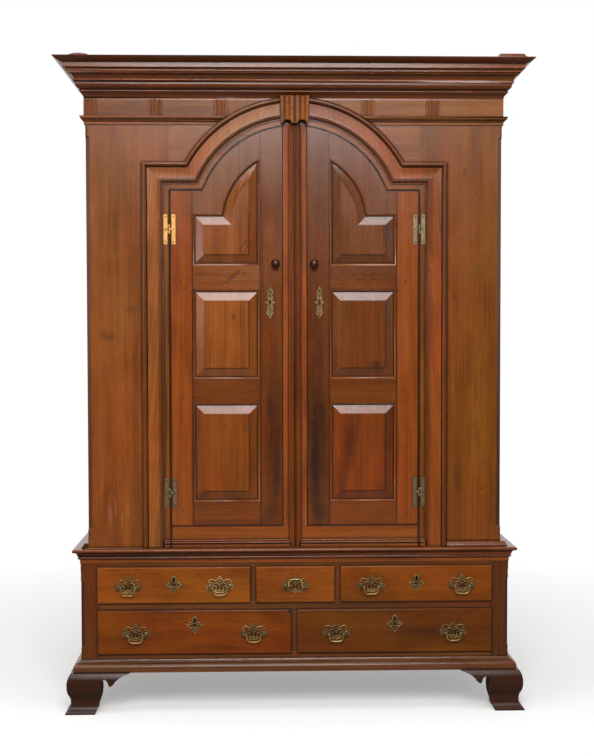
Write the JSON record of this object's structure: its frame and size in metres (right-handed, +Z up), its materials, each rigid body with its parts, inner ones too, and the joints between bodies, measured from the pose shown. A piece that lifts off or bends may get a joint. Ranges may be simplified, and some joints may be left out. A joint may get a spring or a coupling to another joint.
{
  "type": "kas cupboard",
  "caption": "Tall walnut kas cupboard with a moulded cornice, arched panelled doors, lipped drawers below and ogee bracket feet.",
  "frame": {"origin": "on the floor, under the middle of the whole width and depth", "axes": "+X to the viewer's right, -Y out of the front, +Z up"},
  "size_m": [1.533, 0.626, 2.117],
  "materials": {
    "walnut": "satin",
    "walnut_dark": "satin",
    "walnut_drawers": "satin",
    "secondary_wood": "matte",
    "brass": "satin",
    "knob_brass": "satin",
    "iron": "matte"
  },
  "bodies": {
    "case": {"cornice": "walnut_dark", "frieze": "walnut", "waist_moulding": "walnut_dark", "base_moulding": "walnut_dark", "triglyphs": "walnut", "architrave": "walnut", "keystone": "walnut_dark", "face_stiles": "walnut", "head_and_sill": "walnut", "mullion": "walnut_dark", "upper_sides": "walnut", "upper_boards": "secondary_wood", "shelves": "secondary_wood", "back_boards": "secondary_wood", "lower_stiles": "walnut", "lower_sides": "walnut", "drawer_rails": "walnut", "lower_boards": "secondary_wood", "drawer_runners": "secondary_wood", "bracket_feet": "walnut_dark", "foot_blocks": "secondary_wood", "hinge_case_leaves": "brass"},
    "door_left": {"door_left_stiles": "walnut", "door_left_rails": "walnut", "door_left_panels": "walnut", "door_left_knob": "knob_brass", "door_left_lock": "brass", "door_left_hinge_leaves": "brass"},
    "bolt_left": {"door_left_bolt": "iron"},
    "door_right": {"door_right_stiles": "walnut", "door_right_rails": "walnut", "door_right_panels": "walnut", "door_right_knob": "knob_brass", "door_right_lock": "brass", "door_right_hinge_leaves": "brass"},
    "bolt_right": {"door_right_bolt": "iron"},
    "drawer_top_left": {"drawer_top_left_front": "walnut_drawers", "drawer_top_left_box": "secondary_wood", "drawer_top_left_brasses": "brass"},
    "bail_top_left_1": {"drawer_top_left_bail_1": "brass"},
    "bail_top_left_2": {"drawer_top_left_bail_2": "brass"},
    "drawer_top_middle": {"drawer_top_middle_front": "walnut_drawers", "drawer_top_middle_box": "secondary_wood", "drawer_top_middle_brasses": "brass"},
    "bail_top_middle_1": {"drawer_top_middle_bail_1": "brass"},
    "drawer_top_right": {"drawer_top_right_front": "walnut_drawers", "drawer_top_right_box": "secondary_wood", "drawer_top_right_brasses": "brass"},
    "bail_top_right_1": {"drawer_top_right_bail_1": "brass"},
    "bail_top_right_2": {"drawer_top_right_bail_2": "brass"},
    "drawer_low_left": {"drawer_low_left_front": "walnut_drawers", "drawer_low_left_box": "secondary_wood", "drawer_low_left_brasses": "brass"},
    "bail_low_left_1": {"drawer_low_left_bail_1": "brass"},
    "bail_low_left_2": {"drawer_low_left_bail_2": "brass"},
    "drawer_low_right": {"drawer_low_right_front": "walnut_drawers", "drawer_low_right_box": "secondary_wood", "drawer_low_right_brasses": "brass"},
    "bail_low_right_1": {"drawer_low_right_bail_1": "brass"},
    "bail_low_right_2": {"drawer_low_right_bail_2": "brass"}
  },
  "joints": [
    {"name": "door_left_hinge", "type": "hinge", "parent": "case", "child": "door_left", "pos_m": [-0.4055, -0.22545, 1.139], "axis": [0, 0, -1], "range_deg": [0, 150]},
    {"name": "bolt_left_slide", "type": "slide", "parent": "door_left", "child": "bolt_left", "axis": [1, 0, 0], "range_m": [0, 0.01]},
    {"name": "door_right_hinge", "type": "hinge", "parent": "case", "child": "door_right", "pos_m": [0.4055, -0.22545, 1.139], "axis": [0, 0, 1], "range_deg": [0, 150]},
    {"name": "bolt_right_slide", "type": "slide", "parent": "door_right", "child": "bolt_right", "axis": [-1, 0, 0], "range_m": [0, 0.01]},
    {"name": "drawer_top_left_slide", "type": "slide", "parent": "case", "child": "drawer_top_left", "axis": [0, -1, 0], "range_m": [0, 0.4]},
    {"name": "bail_top_left_1_swing", "type": "hinge", "parent": "drawer_top_left", "child": "bail_top_left_1", "pos_m": [-0.545, -0.257, 0.405], "axis": [-1, 0, 0], "range_deg": [-12, 192]},
    {"name": "bail_top_left_2_swing", "type": "hinge", "parent": "drawer_top_left", "child": "bail_top_left_2", "pos_m": [-0.247, -0.257, 0.405], "axis": [-1, 0, 0], "range_deg": [-12, 192]},
    {"name": "drawer_top_middle_slide", "type": "slide", "parent": "case", "child": "drawer_top_middle", "axis": [0, -1, 0], "range_m": [0, 0.4]},
    {"name": "bail_top_middle_1_swing", "type": "hinge", "parent": "drawer_top_middle", "child": "bail_top_middle_1", "pos_m": [0, -0.257, 0.405], "axis": [1, 0, 0], "range_deg": [0, 204]},
    {"name": "drawer_top_right_slide", "type": "slide", "parent": "case", "child": "drawer_top_right", "axis": [0, -1, 0], "range_m": [0, 0.4]},
    {"name": "bail_top_right_1_swing", "type": "hinge", "parent": "drawer_top_right", "child": "bail_top_right_1", "pos_m": [0.247, -0.257, 0.405], "axis": [-1, 0, 0], "range_deg": [-12, 192]},
    {"name": "bail_top_right_2_swing", "type": "hinge", "parent": "drawer_top_right", "child": "bail_top_right_2", "pos_m": [0.545, -0.257, 0.405], "axis": [-1, 0, 0], "range_deg": [-12, 192]},
    {"name": "drawer_low_left_slide", "type": "slide", "parent": "case", "child": "drawer_low_left", "axis": [0, -1, 0], "range_m": [0, 0.4]},
    {"name": "bail_low_left_1_swing", "type": "hinge", "parent": "drawer_low_left", "child": "bail_low_left_1", "pos_m": [-0.521, -0.257, 0.2505], "axis": [-1, 0, 0], "range_deg": [-12, 192]},
    {"name": "bail_low_left_2_swing", "type": "hinge", "parent": "drawer_low_left", "child": "bail_low_left_2", "pos_m": [-0.137, -0.257, 0.2505], "axis": [-1, 0, 0], "range_deg": [-12, 192]},
    {"name": "drawer_low_right_slide", "type": "slide", "parent": "case", "child": "drawer_low_right", "axis": [0, -1, 0], "range_m": [0, 0.4]},
    {"name": "bail_low_right_1_swing", "type": "hinge", "parent": "drawer_low_right", "child": "bail_low_right_1", "pos_m": [0.133, -0.257, 0.2505], "axis": [-1, 0, 0], "range_deg": [-12, 192]},
    {"name": "bail_low_right_2_swing", "type": "hinge", "parent": "drawer_low_right", "child": "bail_low_right_2", "pos_m": [0.517, -0.257, 0.2505], "axis": [-1, 0, 0], "range_deg": [-12, 192]}
  ]
}
